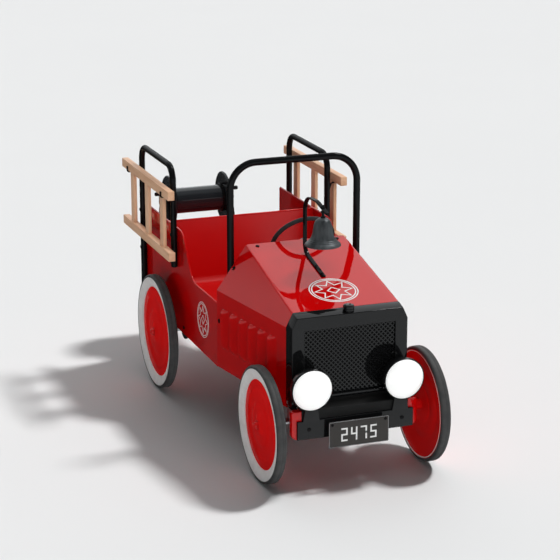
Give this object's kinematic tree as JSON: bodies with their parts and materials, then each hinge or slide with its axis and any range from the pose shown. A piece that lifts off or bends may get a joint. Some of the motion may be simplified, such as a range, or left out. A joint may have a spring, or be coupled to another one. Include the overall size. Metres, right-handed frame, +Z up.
{
  "type": "fire-engine pedal car",
  "caption": "Child's sheet-metal fire-engine pedal car with disc wheels, bell, ladder racks, hose reel, steering and a pedal-driven crank axle.",
  "frame": {"origin": "on the ground below the middle of the bounding box", "axes": "+Z up, -Y towards the front of the car, +X towards the driver's left"},
  "size_m": [0.478, 1.216, 0.6313],
  "materials": {
    "red_paint": "gloss",
    "black_paint": "gloss",
    "tyre_rubber": "matte",
    "whitewall_rubber": "satin",
    "beech": "satin",
    "lamp_lens": "gloss",
    "zinc_steel": "satin",
    "bell_iron": "satin",
    "plate_paint": "satin"
  },
  "bodies": {
    "root": {"chassis_frame": "black_paint", "front_cross_member": "red_paint", "front_axle": "red_paint", "tub_side_right": "red_paint", "tub_side_left": "red_paint", "seat": "red_paint", "rear_deck": "red_paint", "tail_stays": "black_paint", "dash_panel": "red_paint", "hood": "red_paint", "radiator_shell": "black_paint", "grille_mesh": "black_paint", "radiator_cap": "black_paint", "bumper": "black_paint", "number_plate": "plate_paint", "front_bolts": "zinc_steel", "headlight_brackets": "black_paint", "headlight_shells": "black_paint", "headlight_rims": "black_paint", "headlight_lenses": "lamp_lens", "windshield_frame": "black_paint", "rack_right": "black_paint", "rack_left": "black_paint", "ladder_hooks": "black_paint", "reel_brackets": "black_paint", "bell_bracket": "black_paint", "bell": "bell_iron", "body_screws": "zinc_steel", "axle_hangers": "black_paint", "pedal_bar": "zinc_steel", "column_bracket": "black_paint"},
    "steering": {"steering_wheel": "black_paint", "steering_column": "black_paint"},
    "knuckle_right": {"knuckle_right": "zinc_steel"},
    "knuckle_left": {"knuckle_left": "zinc_steel"},
    "tie_rod": {"tie_rod": "zinc_steel"},
    "front_wheel_right": {"front_tyre_right": "tyre_rubber", "front_whitewall_right": "whitewall_rubber", "front_disc_right": "red_paint", "front_nut_right": "zinc_steel"},
    "front_wheel_left": {"front_tyre_left": "tyre_rubber", "front_whitewall_left": "whitewall_rubber", "front_disc_left": "red_paint", "front_nut_left": "zinc_steel"},
    "rear_wheels": {"rear_axle": "zinc_steel", "rear_nuts": "zinc_steel", "rear_tyre_right": "tyre_rubber", "rear_whitewall_right": "whitewall_rubber", "rear_disc_right": "red_paint", "rear_tyre_left": "tyre_rubber", "rear_whitewall_left": "whitewall_rubber", "rear_disc_left": "red_paint"},
    "push_rod_right": {"push_rod_right": "zinc_steel"},
    "push_rod_left": {"push_rod_left": "zinc_steel"},
    "pedal_right": {"pedal_right": "black_paint"},
    "pedal_left": {"pedal_left": "black_paint"},
    "hose_reel": {"hose_reel": "black_paint"},
    "clapper": {"clapper": "zinc_steel"},
    "ladder_right": {"ladder_right": "beech"},
    "ladder_left": {"ladder_left": "beech"}
  },
  "joints": [
    {"name": "steer", "type": "hinge", "parent": "root", "child": "steering", "pos_m": [0.028, -0.16, 0.427], "axis": [0, 0.848, 0.5299], "range_deg": [-7, 7]},
    {"name": "kingpin_right", "type": "hinge", "parent": "root", "child": "knuckle_right", "pos_m": [-0.105, -0.481, 0.127], "axis": [0, 0, 1], "range_deg": [-7, 7]},
    {"name": "kingpin_left", "type": "hinge", "parent": "root", "child": "knuckle_left", "pos_m": [0.105, -0.481, 0.127], "axis": [0, 0, 1], "range_deg": [-7, 7]},
    {"name": "tie_rod_shift", "type": "slide", "parent": "root", "child": "tie_rod", "axis": [1, 0, 0], "range_m": [-0.012, 0.012]},
    {"name": "front_wheel_right_spin", "type": "hinge", "parent": "knuckle_right", "child": "front_wheel_right", "pos_m": [-0.185, -0.481, 0.127], "axis": [1, 0, 0], "continuous": true},
    {"name": "front_wheel_left_spin", "type": "hinge", "parent": "knuckle_left", "child": "front_wheel_left", "pos_m": [0.185, -0.481, 0.127], "axis": [1, 0, 0], "continuous": true},
    {"name": "rear_axle_spin", "type": "hinge", "parent": "root", "child": "rear_wheels", "pos_m": [0, 0.173, 0.139], "axis": [1, 0, 0], "continuous": true},
    {"name": "rod_eye_right", "type": "hinge", "parent": "rear_wheels", "child": "push_rod_right", "pos_m": [-0.055, 0.208, 0.139], "axis": [1, 0, 0], "continuous": true},
    {"name": "rod_eye_left", "type": "hinge", "parent": "rear_wheels", "child": "push_rod_left", "pos_m": [0.055, 0.138, 0.139], "axis": [1, 0, 0], "continuous": true},
    {"name": "pedal_right_swing", "type": "hinge", "parent": "root", "child": "pedal_right", "pos_m": [-0.065, -0.262, 0.335], "axis": [1, 0, 0], "range_deg": [-20, 0]},
    {"name": "pedal_left_swing", "type": "hinge", "parent": "root", "child": "pedal_left", "pos_m": [0.065, -0.262, 0.335], "axis": [1, 0, 0], "range_deg": [0, 20]},
    {"name": "reel_spin", "type": "hinge", "parent": "root", "child": "hose_reel", "pos_m": [0, 0.537, 0.366], "axis": [1, 0, 0], "continuous": true},
    {"name": "clapper_swing", "type": "hinge", "parent": "root", "child": "clapper", "pos_m": [0, -0.356, 0.513], "axis": [1, 0, 0], "range_deg": [-22, 22]},
    {"name": "ladder_right_lift", "type": "slide", "parent": "root", "child": "ladder_right", "axis": [0, 0, 1], "range_m": [0, 0.05]},
    {"name": "ladder_left_lift", "type": "slide", "parent": "root", "child": "ladder_left", "axis": [0, 0, 1], "range_m": [0, 0.05]}
  ],
  "couplings": [
    {"joint": "kingpin_right", "follows": "steer", "ratio": 0.958},
    {"joint": "kingpin_left", "follows": "steer", "ratio": 0.958},
    {"joint": "tie_rod_shift", "follows": "steer", "m_per_rad": -0.0862},
    {"joint": "rod_eye_right", "follows": "rear_axle_spin", "ratio": -1},
    {"joint": "rod_eye_left", "follows": "rear_axle_spin", "ratio": -1},
    {"joint": "pedal_left_swing", "follows": "pedal_right_swing", "ratio": -1}
  ]
}
